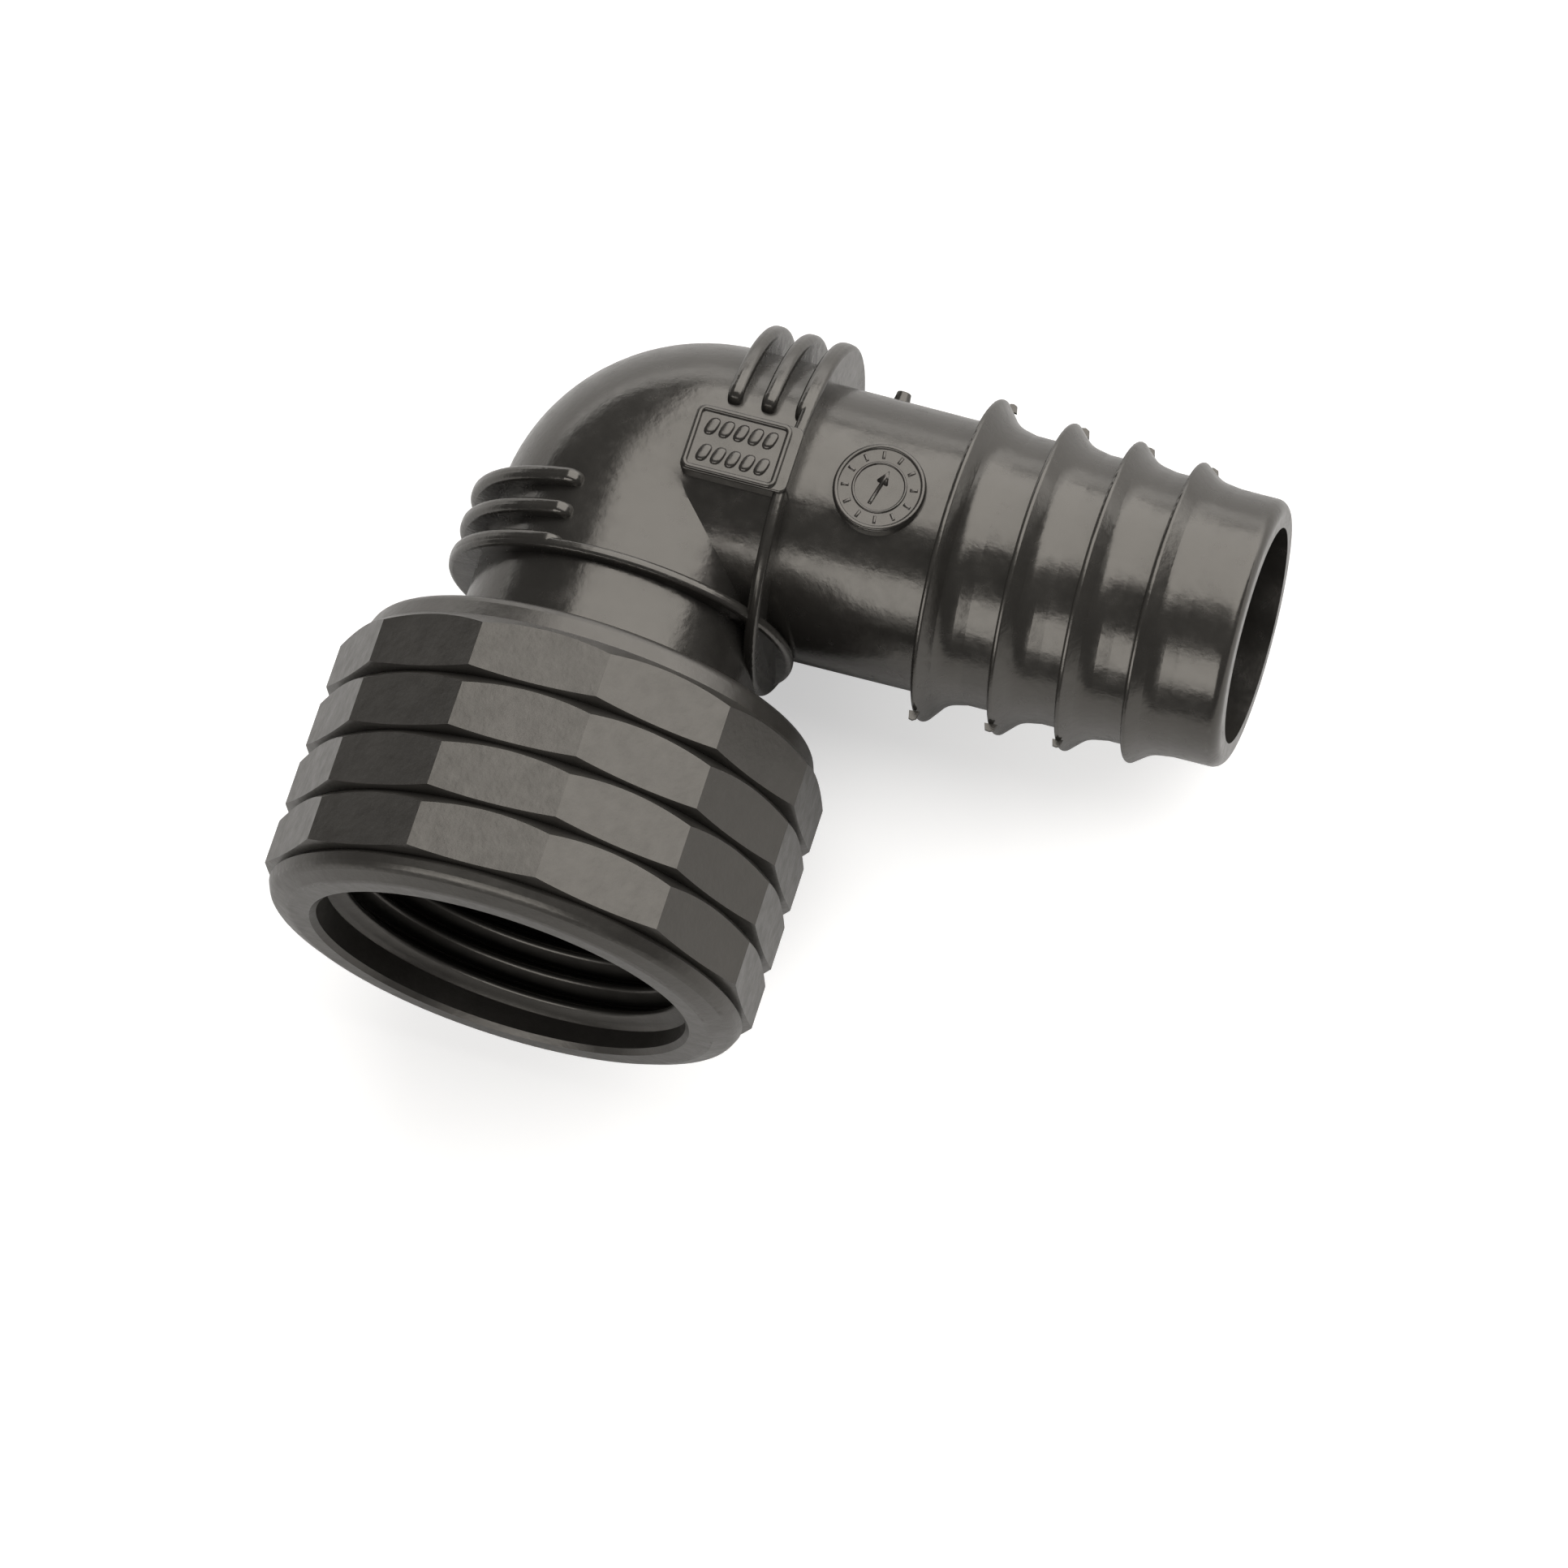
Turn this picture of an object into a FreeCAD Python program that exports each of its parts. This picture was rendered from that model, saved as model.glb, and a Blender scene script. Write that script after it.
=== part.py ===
import FreeCAD, Part
import math
import os
from FreeCAD import Vector

# Hose barb elbow with a swivel nut, lying on its side. Millimetres.
# It is drawn upright first: hose tail along +X, nut axis along Z with the nut
# opening towards -Z, the marked side of the moulding towards -Y. The last step
# lays it down with the marked side up, as it comes to rest on the nut, the grip
# ribs and a barb, and puts the origin on the nut's axis where the thread starts
# inside the mouth.

# Standards that set the size
THREAD_MAJOR_R = 33.249 / 2
THREAD_HEIGHT = 1.479
HOSE_BORE_R = 25.4 / 2

# Named clearances
FLANGE_PASS_GAP = 0.3
NUT_RUN_GAP = 0.3
NUT_SIDE_GAP = 0.4
WASHER_SIDE_GAP = 0.6
WASHER_THREAD_GAP = 0.8

# Flange that keeps the nut on, neck and bend, from the thread inwards
FLANGE_R = THREAD_MAJOR_R - THREAD_HEIGHT - FLANGE_PASS_GAP
FLANGE_T = 3.0
FLANGE_LEAD = 0.9
NECK_R = FLANGE_R - 1.65
NECK_SHOWN = 7.7
BEND_OUTER_R = NECK_R + 0.2
BEND_CENTRE_R = 5.15

# Hose tail, with barbs spaced from the collar outwards
TAIL_ROOT_R = HOSE_BORE_R - 0.5
TAIL_WALL = 2.6
TAIL_THINNING = 0.3
BARB_STEPS = (14.25, 6.7, 6.0, 5.8)
BARB_STAND = (2.15, 1.55, 1.4, 0.9)
BARB_BACK = 0.35
BARB_SLOPE = 3.8
BARB_TIP_ROUND = 0.3
BARB_HOLLOW = 0.15
BARB_HOLLOW_ROUND = 2.5
TAIL_TIP = 8.2
TAIL_END_ROUND = 1.1

# Collars: thin oval discs at the ends of the bend
COLLAR_T = 1.1
COLLAR_ROUND = 0.45
COLLAR_DEPTH_R = BEND_OUTER_R + 1.0
TAIL_COLLAR_R = BEND_OUTER_R + 2.6
NECK_COLLAR_R = BEND_OUTER_R + 2.3
TAIL_COLLAR_X = BEND_OUTER_R - 0.5
NECK_COLLAR_Z = 0.8 - BEND_OUTER_R

# Grip ribs: part discs on the outside of the bend, beside each collar
RIB_COUNT = 3
RIB_PITCH = 3.05
RIB_INSET = 0.35
RIB_T = 1.4
RIB_STAND = 0.06
RIB_END_ANGLE = 17.0
RIB_ROUND = 0.55
RIB_END_ROUND = 1.2

# Sealing washer
WASHER_T = 3.0
WASHER_R = FLANGE_R + 0.05
WASHER_BAND = 4.7

# Swivel nut: twelve-sided, in tiers, around the thread
RELIEF_R = THREAD_MAJOR_R + 0.375
MOUTH_R = THREAD_MAJOR_R + 0.475
CHAMBER_R = WASHER_R + WASHER_SIDE_GAP
NUT_WALL = 4.3
NUT_FLAT_R = RELIEF_R + NUT_WALL
NUT_SIDES = 12
NUT_TURN = 13.6
NUT_BACK_WALL = 3.2
NUT_SHOULDER = 2.2
NUT_TOP_IN = 1.4
NUT_TOP_ROUND = 1.2
TIER_COUNT = 4
TIER_PITCH = 5.56
TIER_BEVEL = 1.25
TIER_UNDERCUT = 0.5
NOTCH_DEPTH = 0.6
NUT_LIP_H = 2.3
NUT_LIP_IN = 2.3
NUT_LIP_ROUND = 1.2

# Marks on the side that faces up when it lies
PAD_X = (3.9, TAIL_COLLAR_X + 0.6)
PAD_Z = (-3.4, 2.8)
PAD_OUT = BEND_OUTER_R + 1.05
PAD_CORNER = 0.7
PAD_EDGE = 0.2
DIAL_FROM_COLLAR = 7.9
DIAL_R = 4.05
DIAL_STAND = 0.35
DIAL_EDGE = 0.2
GATE_FROM_COLLAR = 4.9
GATE_R = 0.8
GATE_H = 1.5

# Places that follow from the sizes above
TAIL_BORE_R = TAIL_ROOT_R - TAIL_WALL
BARB_X = [TAIL_COLLAR_X + sum(BARB_STEPS[:n + 1]) for n in range(len(BARB_STEPS))]
BARB_TIP_R = [HOSE_BORE_R + stand for stand in BARB_STAND]
TAIL_END_X = BARB_X[-1] + TAIL_TIP
DIAL_X = TAIL_COLLAR_X + DIAL_FROM_COLLAR
GATE_X = TAIL_COLLAR_X + GATE_FROM_COLLAR
NUT_TOP_Z = NECK_COLLAR_Z - NECK_SHOWN
TIER_TOP_Z = NUT_TOP_Z - NUT_SHOULDER
LOWEST_TIER_Z = TIER_TOP_Z - TIER_COUNT * TIER_PITCH
NUT_MOUTH_Z = LOWEST_TIER_Z - NUT_LIP_H
FLANGE_TOP_Z = NUT_TOP_Z - NUT_BACK_WALL - NUT_SIDE_GAP
FLANGE_END_Z = FLANGE_TOP_Z - FLANGE_T
WASHER_END_Z = FLANGE_END_Z - WASHER_T
WASHER_HOLE_R = WASHER_R - WASHER_BAND
THREAD_START_Z = NUT_MOUTH_Z + MOUTH_R - THREAD_MAJOR_R
THREAD_TOP_Z = WASHER_END_Z - WASHER_THREAD_GAP
RELIEF_TOP_Z = WASHER_END_Z + WASHER_T * 0.6
NUT_HOLE_R = NECK_R + NUT_RUN_GAP
NUT_CORNER_R = NUT_FLAT_R / math.cos(math.pi / NUT_SIDES)
NOTCH_R = NUT_FLAT_R - NOTCH_DEPTH
SLICE = 360.0 / NUT_SIDES


def along_x(u, v):
    return Vector(u, 0, v)


def along_z(u, v):
    return Vector(v, 0, u)


def outline(corners, place):
    # Closed wire through corners (u, v, rounding), set in space by place
    starts = []
    middles = []
    ends = []
    for i, (u, v, r) in enumerate(corners):
        here = Vector(u, v, 0)
        last = corners[i - 1]
        coming = corners[(i + 1) % len(corners)]
        back = (Vector(last[0], last[1], 0) - here).normalize()
        on = (Vector(coming[0], coming[1], 0) - here).normalize()
        if r == 0:
            starts.append(here)
            middles.append(None)
            ends.append(here)
            continue
        half = back.getAngle(on) / 2
        inward = (back + on).normalize()
        starts.append(here + back * (r / math.tan(half)))
        ends.append(here + on * (r / math.tan(half)))
        middles.append(here + inward * (r / math.sin(half) - r))
    edges = []
    for i in range(len(corners)):
        a = place(starts[i].x, starts[i].y)
        b = place(ends[i].x, ends[i].y)
        if middles[i] is not None:
            edges.append(Part.Arc(a, place(middles[i].x, middles[i].y), b).toShape())
        j = (i + 1) % len(corners)
        c = place(starts[j].x, starts[j].y)
        if (c - b).Length > 1e-6:
            edges.append(Part.makeLine(b, c))
    return Part.Wire(edges)


def turned(corners, place, axis):
    # Solid of revolution about the X or Z axis
    face = Part.Face(outline(corners, place))
    return face.revolve(Vector(0, 0, 0), axis, 360)


def bent_rod(radius, tail_end, neck_end):
    # Round rod: straight along -Z, tight quarter bend, straight along +X.
    # The bend is tighter than the rod is thick, so the inside is a mitre crease.
    c = BEND_CENTRE_R
    disc = Part.Face(Part.Wire(Part.makeCircle(radius, Vector(0, 0, -c))))
    outer_side = Part.makeBox(2 * radius, 4 * radius, 2 * radius, Vector(c - 2 * radius, -2 * radius, -c - radius))
    section = disc.common(outer_side).Faces[0]
    bend = section.revolve(Vector(c, 0, -c), Vector(0, 1, 0), 90)
    tail_leg = Part.makeCylinder(radius, tail_end - c, Vector(c, 0, 0), Vector(1, 0, 0))
    neck_leg = Part.makeCylinder(radius, -c - neck_end, Vector(0, 0, -c), Vector(0, 0, -1))
    return bend.fuse([tail_leg, neck_leg]).removeSplitter()


def tail_radius(x):
    share = (x - TAIL_COLLAR_X) / (TAIL_END_X - TAIL_COLLAR_X)
    return TAIL_ROOT_R - TAIL_THINNING * share


def hose_tail():
    # Tapered tail with saw-tooth barbs, steep towards the bend
    start = BEND_CENTRE_R
    corners = [(start, 0, 0), (start, tail_radius(start), 0)]
    for x, tip in zip(BARB_X, BARB_TIP_R):
        corners.append((x - BARB_BACK, tail_radius(x - BARB_BACK), 0))
        corners.append((x, tip, BARB_TIP_ROUND))
        middle = x + BARB_SLOPE / 2
        hollow = tail_radius(middle) + BARB_HOLLOW * (tip - tail_radius(middle))
        corners.append((middle, hollow, BARB_HOLLOW_ROUND))
        corners.append((x + BARB_SLOPE, tail_radius(x + BARB_SLOPE), 0))
    corners.append((TAIL_END_X, tail_radius(TAIL_END_X), TAIL_END_ROUND))
    corners.append((TAIL_END_X, 0, 0))
    return turned(corners, along_x, Vector(1, 0, 0))


def oval_disc(centre, axis, wide, deep, thick):
    # Disc square to axis: wide in the plane of the bend, deep across it
    start = centre - axis * (thick / 2)
    broad = Vector(axis.z, 0, axis.x)
    rim = Part.Ellipse(start + broad * wide, start + Vector(0, deep, 0), start)
    return Part.Face(Part.Wire(rim.toShape())).extrude(axis * thick)


def collar(centre, axis, wide):
    disc = oval_disc(centre, axis, wide, COLLAR_DEPTH_R, COLLAR_T)
    rims = [e for e in disc.Edges if isinstance(e.Curve, Part.Ellipse)]
    return disc.makeFillet(COLLAR_ROUND, rims)


def rib(centre, axis, outward, wide):
    # The outer part of an oval disc, with rounded ends on both sides of the bend
    disc = oval_disc(centre, axis, wide + RIB_STAND, COLLAR_DEPTH_R + RIB_STAND, RIB_T)
    height = BEND_OUTER_R * math.sin(math.radians(RIB_END_ANGLE))
    middle = centre + outward * (height + wide)
    block = Part.makeBox(2 * wide, 4 * wide, 2 * wide, middle - Vector(wide, 2 * wide, wide))
    piece = disc.common(block)
    tips = []
    for e in piece.Edges:
        run = e.valueAt(e.LastParameter) - e.valueAt(e.FirstParameter)
        if abs(run.dot(axis)) > RIB_T * 0.9:
            tips.append(e)
    piece = piece.makeFillet(RIB_END_ROUND, tips)
    rims = []
    for e in piece.Edges:
        on_rim = isinstance(e.Curve, (Part.Ellipse, Part.Circle))
        if on_rim and abs((e.CenterOfMass - centre).dot(axis)) > RIB_T * 0.4:
            rims.append(e)
    return piece.makeFillet(RIB_ROUND, rims)


def neck():
    # Neck and retaining flange, with a lead on the flange for the nut to snap over
    corners = [
        (NECK_COLLAR_Z, 0, 0),
        (NECK_COLLAR_Z, NECK_R, 0),
        (FLANGE_TOP_Z, NECK_R, 0),
        (FLANGE_TOP_Z, FLANGE_R, 0),
        (FLANGE_END_Z + FLANGE_LEAD, FLANGE_R, 0),
        (FLANGE_END_Z, FLANGE_R - FLANGE_LEAD, 0),
        (FLANGE_END_Z, 0, 0),
    ]
    return turned(corners, along_z, Vector(0, 0, 1))


def label_pad():
    # Flat raised panel on the side of the bend
    depth = BEND_OUTER_R / 2
    size = (PAD_X[1] - PAD_X[0], depth, PAD_Z[1] - PAD_Z[0])
    block = Part.makeBox(size[0], size[1], size[2], Vector(PAD_X[0], -PAD_OUT, PAD_Z[0]))
    corners = [e for e in block.Edges if abs((e.lastVertex().Point - e.firstVertex().Point).y) > depth * 0.9]
    block = block.makeFillet(PAD_CORNER, corners)
    brim = [e for e in block.Edges if abs(e.CenterOfMass.y + PAD_OUT) < 1e-6]
    return block.makeFillet(PAD_EDGE, brim)


def dial_disc():
    # Round raised boss on the side of the tail
    out = TAIL_ROOT_R + DIAL_STAND
    depth = out - TAIL_BORE_R - TAIL_WALL / 3
    boss = Part.makeCylinder(DIAL_R, depth, Vector(DIAL_X, depth - out, 0), Vector(0, -1, 0))
    brim = [e for e in boss.Edges if abs(e.CenterOfMass.y + out) < 1e-6]
    return boss.makeFillet(DIAL_EDGE, brim)


def gate_nub():
    # Stub left where the mould was filled, on the parting line
    foot = (TAIL_BORE_R + tail_radius(GATE_X)) / 2
    height = tail_radius(GATE_X) + GATE_H - foot
    return Part.makeCone(GATE_R * 1.3, GATE_R * 0.8, height, Vector(GATE_X, 0, foot))


def elbow_body():
    x_axis = Vector(1, 0, 0)
    z_axis = Vector(0, 0, 1)
    solids = [hose_tail(), neck(), label_pad(), dial_disc()]
    solids.append(collar(Vector(TAIL_COLLAR_X, 0, 0), x_axis, TAIL_COLLAR_R))
    solids.append(collar(Vector(0, 0, NECK_COLLAR_Z), z_axis, NECK_COLLAR_R))
    for n in range(RIB_COUNT):
        x = TAIL_COLLAR_X - RIB_INSET - n * RIB_PITCH
        z = NECK_COLLAR_Z + RIB_INSET + n * RIB_PITCH
        solids.append(rib(Vector(x, 0, 0), x_axis, z_axis, TAIL_COLLAR_R))
        solids.append(rib(Vector(0, 0, z), z_axis, -x_axis, NECK_COLLAR_R))
    solids.append(gate_nub())
    body = bent_rod(BEND_OUTER_R, TAIL_COLLAR_X, NECK_COLLAR_Z).fuse(solids)
    body = body.cut(bent_rod(TAIL_BORE_R, TAIL_END_X + 1, FLANGE_END_Z - 1))
    return body.removeSplitter()


def nut_outside():
    # Turned tiers cut back to a twelve-sided prism
    wide = NUT_CORNER_R + 0.1
    corners = [(NUT_TOP_Z, 0, 0), (NUT_TOP_Z, NUT_FLAT_R - NUT_TOP_IN, NUT_TOP_ROUND)]
    for n in range(TIER_COUNT):
        top = TIER_TOP_Z - n * TIER_PITCH
        low = top - TIER_PITCH
        corners.append((top, NOTCH_R, 0))
        corners.append((top - TIER_BEVEL, wide, 0))
        corners.append((low + TIER_UNDERCUT, wide, 0))
    corners.append((LOWEST_TIER_Z, NOTCH_R, 0))
    corners.append((LOWEST_TIER_Z - TIER_UNDERCUT, NUT_FLAT_R, 0))
    corners.append((NUT_MOUTH_Z + NUT_LIP_H / 3, NUT_FLAT_R - NUT_LIP_IN / 5, NUT_LIP_ROUND))
    corners.append((NUT_MOUTH_Z, NUT_FLAT_R - NUT_LIP_IN, NUT_LIP_ROUND))
    corners.append((NUT_MOUTH_Z, 0, 0))
    tiers = turned(corners, along_z, Vector(0, 0, 1))
    points = []
    for n in range(NUT_SIDES + 1):
        a = math.radians(NUT_TURN + n * SLICE)
        points.append(Vector(NUT_CORNER_R * math.sin(a), -NUT_CORNER_R * math.cos(a), NUT_MOUTH_Z))
    prism = Part.Face(Part.makePolygon(points)).extrude(Vector(0, 0, NUT_TOP_Z - NUT_MOUTH_Z))
    return tiers.common(prism)


def swivel_nut():
    # From the mouth inwards: lead, thread at its major radius, relief groove,
    # washer chamber, and the hole that runs on the neck
    roof = NUT_TOP_Z - NUT_BACK_WALL
    corners = [
        (NUT_MOUTH_Z - 1, 0, 0),
        (NUT_MOUTH_Z - 1, MOUTH_R, 0),
        (NUT_MOUTH_Z, MOUTH_R, 0),
        (THREAD_START_Z, THREAD_MAJOR_R, 0),
        (THREAD_TOP_Z, THREAD_MAJOR_R, 0),
        (THREAD_TOP_Z + 0.3, RELIEF_R, 0),
        (RELIEF_TOP_Z, RELIEF_R, 0.3),
        (RELIEF_TOP_Z, CHAMBER_R, 0),
        (roof, CHAMBER_R, 0.5),
        (roof, NUT_HOLE_R, 0),
        (NUT_TOP_Z + 1, NUT_HOLE_R, 0),
        (NUT_TOP_Z + 1, 0, 0),
    ]
    cavity = turned(corners, along_z, Vector(0, 0, 1))
    return nut_outside().cut(cavity).removeSplitter()


def sealing_washer():
    ring = Part.makeCylinder(WASHER_R, WASHER_T, Vector(0, 0, WASHER_END_Z))
    hole = Part.makeCylinder(WASHER_HOLE_R, WASHER_T, Vector(0, 0, WASHER_END_Z))
    return ring.cut(hole)


def resting_place(body, nut):
    # The floor touches three points: one of the nut, one beside the bend, one of the barbs
    points = body.tessellate(0.03)[0]
    groups = [
        nut.tessellate(0.03)[0],
        [p for p in points if p.x < TAIL_COLLAR_X + COLLAR_T],
        [p for p in points if p.x > BARB_X[0] - BARB_BACK],
    ]
    down = Vector(0, 1, 0)
    for _ in range(20):
        touch = [max(group, key=lambda p: p.dot(down)) for group in groups]
        down = (touch[1] - touch[0]).cross(touch[2] - touch[0]).normalize()
        if down.y < 0:
            down = down * -1
    up = down * -1
    tail = Vector(1, 0, 0)
    along = (tail - up * tail.dot(up)).normalize()
    turn = FreeCAD.Rotation(along, up.cross(along), up, "ZXY").inverted()
    start = turn.multVec(Vector(0, 0, THREAD_START_Z))
    return FreeCAD.Placement(start * -1, turn)


elbow = elbow_body()
nut = swivel_nut()
washer = sealing_washer()
place = resting_place(elbow, nut)
os.makedirs("parts", exist_ok=True)
for name, solid in (("elbow_body", elbow), ("swivel_nut", nut), ("sealing_washer", washer)):
    solid.Placement = place.multiply(solid.Placement)
    solid.exportStep("parts/" + name + ".step")
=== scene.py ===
import math
import random

import bmesh
import bpy
from mathutils import Matrix, Vector


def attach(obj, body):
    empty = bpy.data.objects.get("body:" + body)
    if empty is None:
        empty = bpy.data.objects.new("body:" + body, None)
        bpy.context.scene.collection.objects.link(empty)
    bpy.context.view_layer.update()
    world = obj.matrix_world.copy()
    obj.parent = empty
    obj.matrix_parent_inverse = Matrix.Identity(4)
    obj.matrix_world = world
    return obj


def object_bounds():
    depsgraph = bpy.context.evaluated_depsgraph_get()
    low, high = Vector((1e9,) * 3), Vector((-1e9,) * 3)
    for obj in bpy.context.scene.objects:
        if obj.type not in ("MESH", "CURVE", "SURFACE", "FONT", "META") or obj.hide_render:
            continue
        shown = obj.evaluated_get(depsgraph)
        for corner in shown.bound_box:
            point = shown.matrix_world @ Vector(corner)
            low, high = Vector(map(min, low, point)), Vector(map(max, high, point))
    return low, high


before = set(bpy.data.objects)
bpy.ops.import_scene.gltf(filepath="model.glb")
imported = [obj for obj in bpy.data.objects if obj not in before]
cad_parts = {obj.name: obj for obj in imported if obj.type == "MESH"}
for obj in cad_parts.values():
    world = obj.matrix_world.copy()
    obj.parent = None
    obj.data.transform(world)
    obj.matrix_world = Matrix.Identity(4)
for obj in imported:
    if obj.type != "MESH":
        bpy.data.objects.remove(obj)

cad_low, cad_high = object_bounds()

# Sizes and places of the part, in millimetres. They are in the upright frame that the part is drawn in:
# hose tail along +X, nut opening towards -Z, marked side towards -Y.
ACROSS = (0.9999609, -0.0085416, -0.0022792, -0.1061198)
AWAY = (0.0, -0.2578126, 0.966195, 44.9865201)
UPWARD = (-0.0088405, -0.9661572, -0.2578025, -12.0034123)
THREAD_START_Z = -46.5605
THREAD_TOP_Z = -30.6955
THREAD_MAJOR_R = 16.6245
THREAD_MINOR_R = 15.1455
THREAD_PITCH = 2.309
THREAD_RUN_IN = 1.75
THREAD_RUN_OUT = 1.3
THREAD_CREST_HALF = 0.1924
BEND_OUTER_R = 13.3955
PAD_X = (3.9, 13.4955)
PAD_Z = (-3.4, 2.8)
PAD_OUT = BEND_OUTER_R + 1.05
TAIL_COLLAR_X = 12.8955
TAIL_ROOT_R = 12.2
DIAL_X = 20.7955
DIAL_R = 4.05
DIAL_OUT = TAIL_ROOT_R + 0.35
BARB_X = (27.1455, 33.8455, 39.8455, 45.6455)
BARB_TIP_R = (14.85, 14.25, 14.1, 13.6)

# Camera of the photograph
CAMERA_PLACE = (0.153183, -0.014801, 0.66895)
CAMERA_TURN = (5.94922037, 10.08351985, 15.51853264)
CAMERA_LENS = 183.8148

# Light and floor. The floor shines to the camera everywhere, and to the part's gloss only behind it:
# that glow fades in between BRIGHT_FROM[0] and BRIGHT_FROM[1] along Y, in metres, and stays full beyond
PANEL_GLOW = 3.1
STRIP_GLOW = 3.1
LAMP_AIM = (0.012, 0.03)
ROOM_GLOW = 0.11
LAMP_COLOUR = (1.0, 0.985, 0.965)
FLOOR_HALF = 2
FLOOR_GAP = 0.0002
FLOOR_COLOUR = (0.72, 0.715, 0.71, 1)
FLOOR_LIFT = 0.52
BRIGHT_FROM = (0.115, 0.155)

chance = random.Random(7)


def placed(x, y, z):
    # From the upright frame in millimetres to the laid-down frame in metres
    return Vector([a * x + b * y + c * z + d for a, b, c, d in (ACROSS, AWAY, UPWARD)]) / 1000


def piece(name, verts, faces, body, material, smooth=True):
    mesh = bpy.data.meshes.new(name)
    mesh.from_pydata([placed(*v) for v in verts], [], faces)
    bm = bmesh.new()
    bm.from_mesh(mesh)
    bmesh.ops.recalc_face_normals(bm, faces=bm.faces)
    bm.to_mesh(mesh)
    bm.free()
    mesh.polygons.foreach_set("use_smooth", [smooth] * len(mesh.polygons))
    mesh.materials.append(material)
    ob = bpy.data.objects.new(name, mesh)
    bpy.context.scene.collection.objects.link(ob)
    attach(ob, body)
    return ob


# Materials

def socket(shader, name, value):
    shader.inputs[name].default_value = value


def moulded(name, dark, light, rough, rough_spread, specular, grain, grain_depth, cloud):
    # Moulded plastic: cloudy tone, uneven sheen, fine grain and long shallow waves
    material = bpy.data.materials.new(name)
    material.use_nodes = True
    nodes, links = material.node_tree.nodes, material.node_tree.links
    shader = nodes["Principled BSDF"]
    socket(shader, "Specular IOR Level", specular)
    socket(shader, "IOR", 1.5)
    socket(shader, "Specular Tint", (1, 0.95, 0.875, 1))
    place = nodes.new("ShaderNodeTexCoord")

    def noise(scale, detail, roughness):
        node = nodes.new("ShaderNodeTexNoise")
        node.inputs["Scale"].default_value = scale
        node.inputs["Detail"].default_value = detail
        node.inputs["Roughness"].default_value = roughness
        links.new(place.outputs["Object"], node.inputs["Vector"])
        return node

    clouds = noise(cloud, 4, 0.6)
    tone = nodes.new("ShaderNodeValToRGB")
    tone.color_ramp.elements[0].position = 0.3
    tone.color_ramp.elements[0].color = dark
    tone.color_ramp.elements[1].position = 0.7
    tone.color_ramp.elements[1].color = light
    links.new(clouds.outputs["Fac"], tone.inputs["Fac"])
    links.new(tone.outputs["Color"], shader.inputs["Base Color"])

    patches = noise(grain * 0.45, 3, 0.6)
    sheen = nodes.new("ShaderNodeMapRange")
    sheen.inputs["From Min"].default_value = 0.3
    sheen.inputs["From Max"].default_value = 0.7
    sheen.inputs["To Min"].default_value = rough - rough_spread
    sheen.inputs["To Max"].default_value = rough + rough_spread
    links.new(patches.outputs["Fac"], sheen.inputs["Value"])
    links.new(sheen.outputs["Result"], shader.inputs["Roughness"])

    fine = noise(grain, 3, 0.55)
    waves = noise(180, 1, 0.4)
    low = nodes.new("ShaderNodeBump")
    low.inputs["Strength"].default_value = 0.35
    low.inputs["Distance"].default_value = 0.0002
    links.new(waves.outputs["Fac"], low.inputs["Height"])
    bump = nodes.new("ShaderNodeBump")
    bump.inputs["Strength"].default_value = 0.5
    bump.inputs["Distance"].default_value = grain_depth
    links.new(fine.outputs["Fac"], bump.inputs["Height"])
    links.new(low.outputs["Normal"], bump.inputs["Normal"])
    links.new(bump.outputs["Normal"], shader.inputs["Normal"])
    return material


body_plastic = moulded("body_plastic_look", (0.017, 0.016, 0.0145, 1), (0.024, 0.0225, 0.0205, 1),
                       0.23, 0.06, 0.8, 1500, 0.00004, 90)
nut_plastic = moulded("nut_plastic_look", (0.018, 0.0168, 0.0152, 1), (0.025, 0.0233, 0.0212, 1),
                      0.33, 0.05, 0.75, 1500, 0.00005, 90)
washer_rubber = moulded("washer_rubber_look", (0.008, 0.008, 0.008, 1), (0.014, 0.0138, 0.0135, 1),
                        0.6, 0.06, 0.4, 2200, 0.00006, 140)

for node, material in (("elbow_body", body_plastic), ("swivel_nut", nut_plastic),
                       ("sealing_washer", washer_rubber)):
    for n in range(len(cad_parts[node].data.materials)):
        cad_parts[node].data.materials[n] = material


# Thread inside the nut: one rounded helical ridge, run out at both ends. It starts THREAD_RUN_IN and ends
# THREAD_RUN_OUT inside the stated thread

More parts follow.
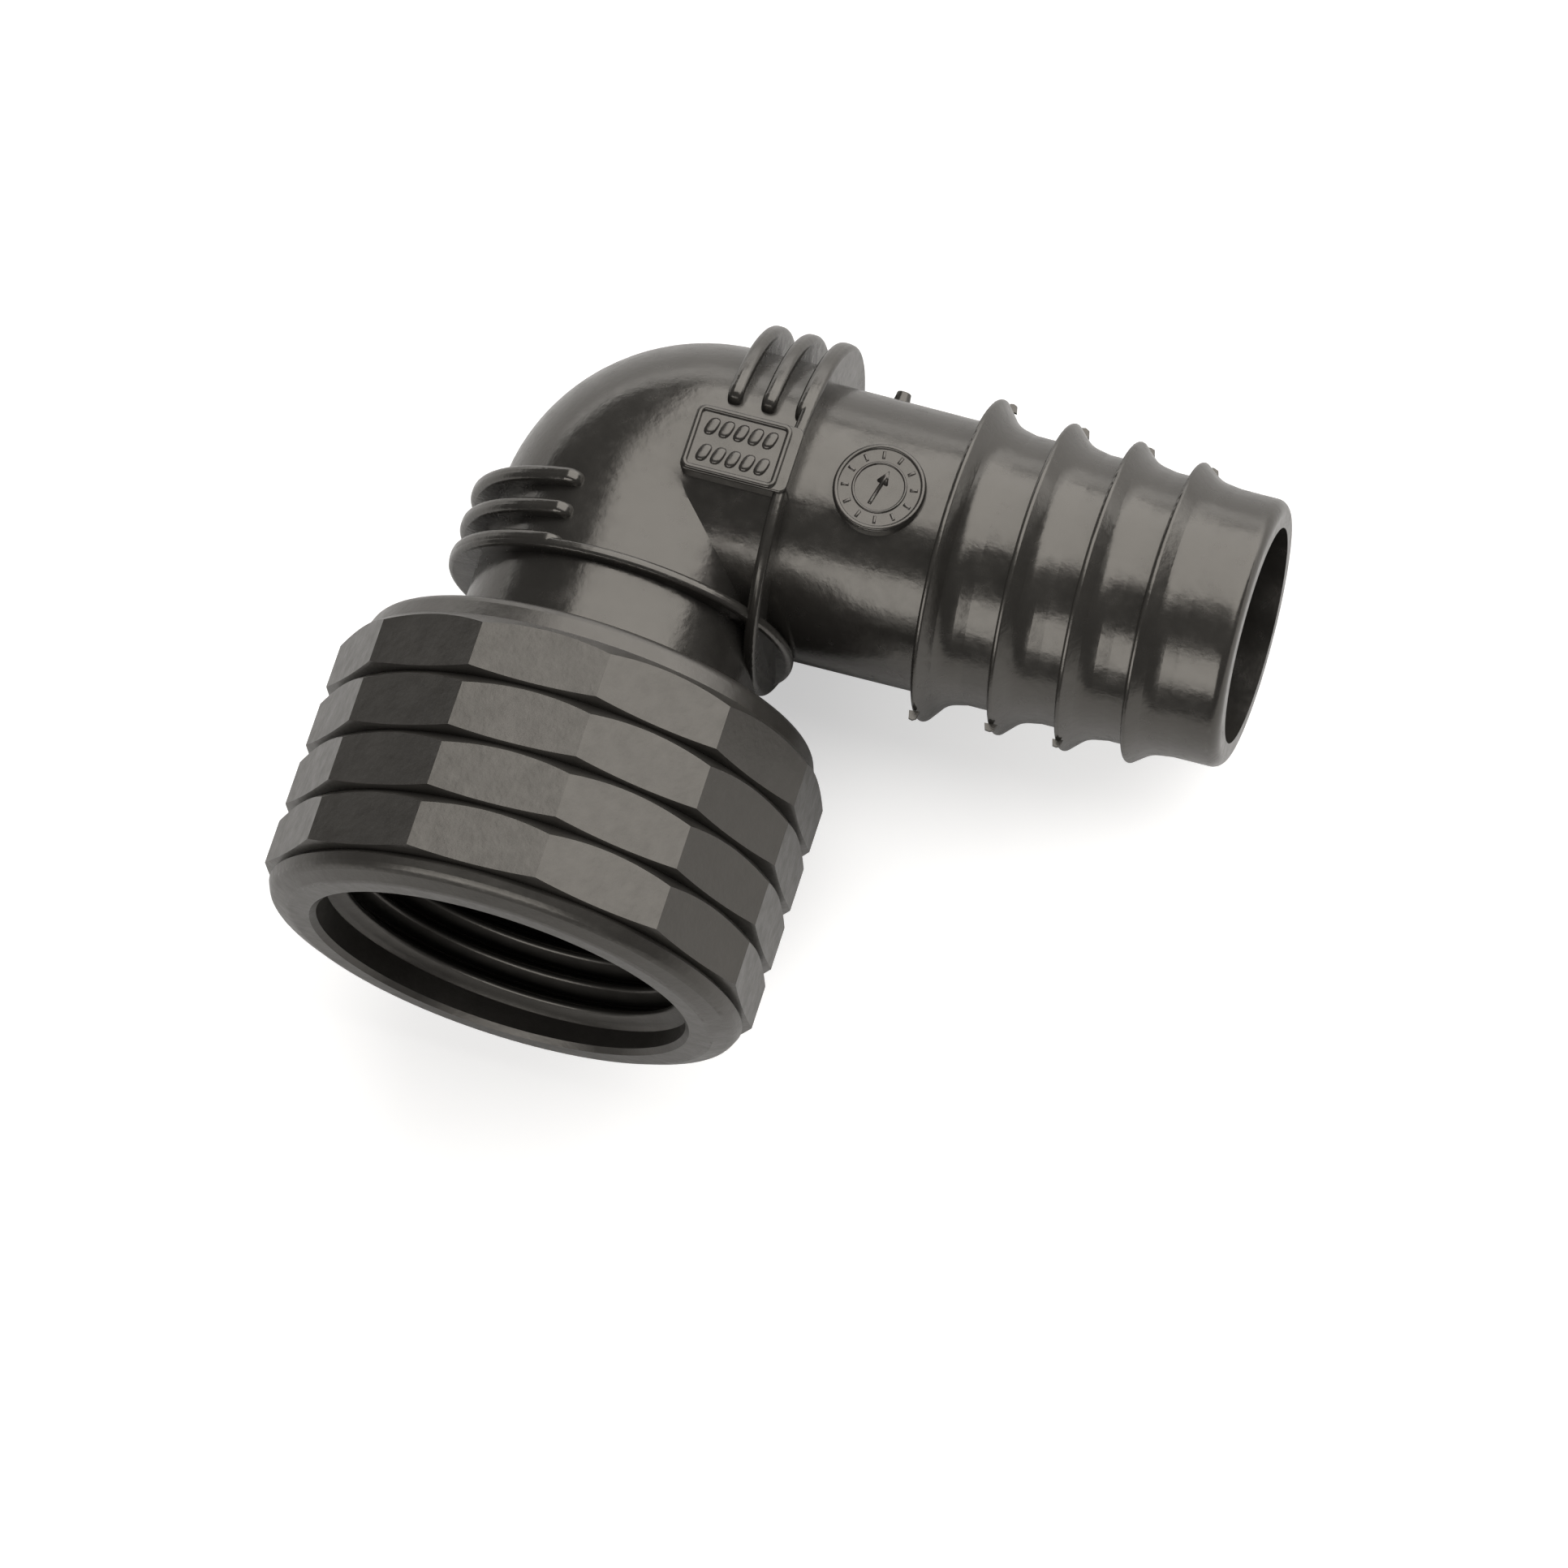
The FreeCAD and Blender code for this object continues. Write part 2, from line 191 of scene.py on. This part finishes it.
def thread_ridge():
    steps = 96
    foot = 0.08
    rise_turns, fall_turns = 0.3, 0.35
    height = THREAD_MAJOR_R - THREAD_MINOR_R
    flank = math.tan(math.radians(27.5))
    # One side of the ridge, (along the axis, depth from the wall inwards), from its foot to its crest
    section = [(-1.12, -foot), (-1.02, 0.06)]
    for depth in (0.25, 0.6, 1.0, height - 0.2):
        section.append((-(THREAD_CREST_HALF + (height - depth) * flank), depth))
    section.append((-0.2, height - 0.05))
    section.append((0.0, height))
    section = section + [(-a, d) for a, d in reversed(section[:-1])]
    start = THREAD_START_Z + THREAD_RUN_IN
    length = THREAD_TOP_Z - start - THREAD_RUN_OUT
    count = int(length / THREAD_PITCH * steps)
    verts = []
    for n in range(count + 1):
        turn = 2 * math.pi * n / steps
        z = start + THREAD_PITCH * n / steps
        run_in = min(1, n / (steps * rise_turns), (count - n) / (steps * fall_turns))
        scale = math.sin(run_in * math.pi / 2)
        for a, depth in section:
            r = THREAD_MAJOR_R - depth * (scale if depth > 0 else 1)
            width = a * (0.5 + 0.5 * scale)
            verts.append((r * math.sin(turn), -r * math.cos(turn), z + width))
    k = len(section)
    faces = []
    for n in range(count):
        for m in range(k):
            a, b = n * k + m, n * k + (m + 1) % k
            faces.append((a, b, b + k, a + k))
    faces.append(tuple(range(k)))
    faces.append(tuple(reversed(range(count * k, count * k + k))))
    return piece("thread_ridge", verts, faces, "nut", nut_plastic)


# Rounded ridges and studs that stand on a flat or round face

def ridge_loop(points, width, height, base, sink=0.1):
    # Closed rounded ridge along points (u, v) on a face at height base
    rows = [(-width / 2, -sink), (-width / 2, height * 0.45), (-width * 0.3, height * 0.88), (0, height),
            (width * 0.3, height * 0.88), (width / 2, height * 0.45), (width / 2, -sink)]
    n = len(points)
    verts = []
    for i, (u, v) in enumerate(points):
        before, after = points[i - 1], points[(i + 1) % n]
        tangent = Vector((after[0] - before[0], after[1] - before[1])).normalized()
        normal = Vector((-tangent.y, tangent.x))
        for off, up in rows:
            verts.append((u + normal.x * off, v + normal.y * off, base + up))
    k = len(rows)
    faces = []
    for i in range(n):
        j = (i + 1) % n
        for m in range(k):
            faces.append((i * k + m, i * k + (m + 1) % k, j * k + (m + 1) % k, j * k + m))
    return verts, faces


def rounded_rectangle(u0, u1, v0, v1, r, steps=7, spacing=0.4):
    # Closed points round a rectangle with corner radius r, its straight sides divided about every spacing
    points = []
    corners = ((u1 - r, v1 - r), (u0 + r, v1 - r), (u0 + r, v0 + r), (u1 - r, v0 + r))
    for quarter, (cu, cv) in enumerate(corners):
        start = 90 * quarter
        for n in range(steps):
            a = math.radians(start + 90 * n / (steps - 1))
            points.append((cu + r * math.cos(a), cv + r * math.sin(a)))
    dense = []
    for i, p in enumerate(points):
        q = points[(i + 1) % len(points)]
        gap = math.dist(p, q)
        parts = max(1, round(gap / spacing))
        for n in range(parts):
            dense.append((p[0] + (q[0] - p[0]) * n / parts, p[1] + (q[1] - p[1]) * n / parts))
    return dense


def circle(u, v, r, steps=72):
    return [(u + r * math.cos(2 * math.pi * n / steps), v + r * math.sin(2 * math.pi * n / steps))
            for n in range(steps)]


def stud(points, base, height, top_share, sink=0.1):
    # Solid with outline points (u, v): straight foot, rounded shoulder, flat top
    cu = sum(p[0] for p in points) / len(points)
    cv = sum(p[1] for p in points) / len(points)
    levels = [(1, -sink), (1, height * 0.4), ((1 + top_share) / 2, height * 0.82), (top_share, height)]
    verts = []
    for share, up in levels:
        for u, v in points:
            verts.append((cu + (u - cu) * share, cv + (v - cv) * share, base + up))
    n = len(points)
    faces = []
    for lv in range(len(levels) - 1):
        for i in range(n):
            j = (i + 1) % n
            faces.append((lv * n + i, lv * n + j, lv * n + n + j, lv * n + n + i))
    faces.append(tuple(reversed(range(n))))
    faces.append(tuple(range((len(levels) - 1) * n, len(levels) * n)))
    return verts, faces


def merged(parts):
    verts, faces = [], []
    for v, f in parts:
        start = len(verts)
        verts.extend(v)
        faces.extend(tuple(i + start for i in face) for face in f)
    return verts, faces


def on_side(verts):
    # (u, v, out) on the marked side to the upright frame
    return [(u, -out, v) for u, v, out in verts]


def pad_border():
    # Raised line round the pad, short of the collar
    inset, collar_gap, corner = 0.33, 0.62, 0.55
    width, height = 0.5, 0.3
    right = TAIL_COLLAR_X - collar_gap
    points = rounded_rectangle(PAD_X[0] + inset, right, PAD_Z[0] + inset, PAD_Z[1] - inset, corner)
    verts, faces = ridge_loop(points, width, height, PAD_OUT)
    return piece("pad_border", on_side(verts), faces, "elbow", body_plastic)


def pad_studs():
    # Plain lozenge studs in two rows
    parts = []
    left, right = PAD_X[0] + 1.1, TAIL_COLLAR_X - 1.35
    row_heights = (-1.55, 0.95)
    count, corners = 5, 16
    half_share, half_tall, slant, squareness = 0.4, 0.82, 0.25, 0.75
    height, top_share = 0.24, 0.6
    step = (right - left) / count
    for v in row_heights:
        for n in range(count):
            u = left + step * (n + 0.5)
            outline = []
            for a in range(corners):
                t = 2 * math.pi * a / corners
                du = math.copysign(abs(math.cos(t)) ** squareness, math.cos(t)) * step * half_share
                dv = math.copysign(abs(math.sin(t)) ** squareness, math.sin(t)) * half_tall
                outline.append((u + du + dv * slant, v + dv))
            parts.append(stud(outline, PAD_OUT, height, top_share))
    verts, faces = merged(parts)
    return piece("pad_studs", on_side(verts), faces, "elbow", body_plastic)


def turned_on_dial(points, r, a):
    # Points (along, across) put at radius r of the dial and turned by a
    return [(DIAL_X + (r + u) * math.cos(a) - v * math.sin(a), (r + u) * math.sin(a) + v * math.cos(a))
            for u, v in points]


def arrow(reach, half_wide):
    neck = reach * 0.3
    head = half_wide * 3.4
    return ((-reach, -half_wide), (neck, -half_wide), (neck, -head), (reach, 0),
            (neck, head), (neck, half_wide), (-reach, half_wide))


def dial_marks():
    # Raised rim, inner ring, twelve ticks and a pointer
    rim_r, ring_r, tick_r = DIAL_R - 0.28, DIAL_R * 0.56, DIAL_R * 0.74
    tick = ((-0.34, -0.13), (0.34, -0.13), (0.34, 0.13), (-0.34, 0.13))
    tick_count, first_tick = 12, 9
    parts = [ridge_loop(circle(DIAL_X, 0, rim_r), 0.42, 0.2, DIAL_OUT)]
    parts.append(ridge_loop(circle(DIAL_X, 0, ring_r), 0.26, 0.16, DIAL_OUT))
    for n in range(tick_count):
        a = math.radians(360 / tick_count * n + first_tick)
        parts.append(stud(turned_on_dial(tick, tick_r, a), DIAL_OUT, 0.14, 0.7))
    pointer = turned_on_dial(arrow(1.7, 0.16), 0, math.radians(76))
    parts.append(stud(pointer, DIAL_OUT, 0.16, 0.8))
    verts, faces = merged(parts)
    return piece("dial_marks", on_side(verts), faces, "elbow", body_plastic)


def flash_fins():
    # Thin uneven fins left at the parting line, on the tips of the barbs; the barb at the mouth has one only
    thick = 0.28
    parts = []
    for x, r in zip(BARB_X, BARB_TIP_R):
        for side in (1, -1):
            if side == -1 and x > BARB_X[2]:
                continue
            out = 0.3 + 0.3 * chance.random()
            long = 0.5 + 0.25 * chance.random()
            shape = ((-long * 0.7, -0.35), (long * 1.2, -0.45), (long * 0.9, out * 0.6), (long * 0.3, out),
                     (-long * 0.35, out * 0.85))
            outline = [(x + 0.1 + u, side * (r + v)) for u, v in shape]
            verts, faces = stud(outline, -thick / 2, thick, 0.92, 0.0)
            parts.append((on_side(verts), faces))
    verts, faces = merged(parts)
    return piece("flash_fins", verts, faces, "elbow", body_plastic, smooth=False)


thread_ridge()
pad_border()
pad_studs()
dial_marks()
flash_fins()


# Floor

floor_z = cad_low.z - FLOOR_GAP
floor_corners = [(x * FLOOR_HALF, y * FLOOR_HALF, floor_z) for x, y in ((-1, -1), (1, -1), (1, 1), (-1, 1))]
floor_mesh = bpy.data.meshes.new("floor")
floor_mesh.from_pydata(floor_corners, [], [(0, 1, 2, 3)])
floor = bpy.data.objects.new("floor", floor_mesh)
bpy.context.scene.collection.objects.link(floor)

paper = bpy.data.materials.new("floor_paper")
paper.use_nodes = True
nodes, links = paper.node_tree.nodes, paper.node_tree.links
shader = nodes["Principled BSDF"]
socket(shader, "Base Color", FLOOR_COLOUR)
socket(shader, "Roughness", 0.9)
socket(shader, "Specular IOR Level", 0.0)
path = nodes.new("ShaderNodeLightPath")
seen = nodes.new("ShaderNodeMath")
seen.operation = "MULTIPLY"
seen.inputs[1].default_value = FLOOR_LIFT
links.new(path.outputs["Is Camera Ray"], seen.inputs[0])
place = nodes.new("ShaderNodeTexCoord")
split = nodes.new("ShaderNodeSeparateXYZ")
links.new(place.outputs["Object"], split.inputs["Vector"])
behind = nodes.new("ShaderNodeMapRange")
behind.interpolation_type = "SMOOTHSTEP"
behind.inputs["From Min"].default_value = BRIGHT_FROM[0]
behind.inputs["From Max"].default_value = BRIGHT_FROM[1]
links.new(split.outputs["Y"], behind.inputs["Value"])
lift = nodes.new("ShaderNodeMath")
lift.operation = "MULTIPLY_ADD"
links.new(path.outputs["Is Glossy Ray"], lift.inputs[0])
links.new(behind.outputs["Result"], lift.inputs[1])
links.new(seen.outputs["Value"], lift.inputs[2])
socket(shader, "Emission Color", (1, 1, 1, 1))
links.new(lift.outputs["Value"], shader.inputs["Emission Strength"])
paper.cycles.emission_sampling = "NONE"
floor_mesh.materials.append(paper)


# World: white to the camera, dim room light on the part

world = bpy.data.worlds.new("room")
bpy.context.scene.world = world
world.use_nodes = True
nodes, links = world.node_tree.nodes, world.node_tree.links
background = nodes["Background"]
background.inputs["Color"].default_value = (1, 0.99, 0.975, 1)
path = nodes.new("ShaderNodeLightPath")
level = nodes.new("ShaderNodeMapRange")
level.inputs["To Min"].default_value = ROOM_GLOW
level.inputs["To Max"].default_value = 1.0
links.new(path.outputs["Is Camera Ray"], level.inputs["Value"])
links.new(level.outputs["Result"], background.inputs["Strength"])


# Lamps

def panel(name, direction, across, distance, width, height, glow, shift=(0.0, 0.0)):
    # Rectangular lamp that faces the middle of the part, its width along across
    facing = Vector(direction).normalized()
    right = (Vector(across) - facing * Vector(across).dot(facing)).normalized()
    up = facing.cross(right)
    lamp = bpy.data.lights.new(name, "AREA")
    lamp.shape = "RECTANGLE"
    lamp.size = width
    lamp.size_y = height
    lamp.energy = glow * math.pi * width * height
    lamp.color = LAMP_COLOUR
    ob = bpy.data.objects.new(name, lamp)
    bpy.context.scene.collection.objects.link(ob)
    centre = Vector((*LAMP_AIM, 0)) + facing * distance + right * shift[0] + up * shift[1]
    ob.location = centre
    ob.rotation_euler = Matrix((right, up, facing)).transposed().to_euler()
    ob.visible_camera = False


panel("top_panel", (0.2, 0.7, 0.685), (1, 0, 0), 0.9, 1.51, 1.43, PANEL_GLOW, (0.14, 0.11))
panel("front_strip", (-0.17, -0.74, 0.656), (1, 0, 0), 0.9, 0.9, 0.53, STRIP_GLOW)


# Camera

camera_data = bpy.data.cameras.new("camera")
camera_data.sensor_width = 36
camera_data.lens = CAMERA_LENS
camera_data.clip_start = 0.01
camera_data.clip_end = 20
camera = bpy.data.objects.new("camera", camera_data)
camera.location = CAMERA_PLACE
camera.rotation_euler = [math.radians(a) for a in CAMERA_TURN]
bpy.context.scene.collection.objects.link(camera)
bpy.context.scene.camera = camera
bpy.context.scene.view_settings.view_transform = "Standard"
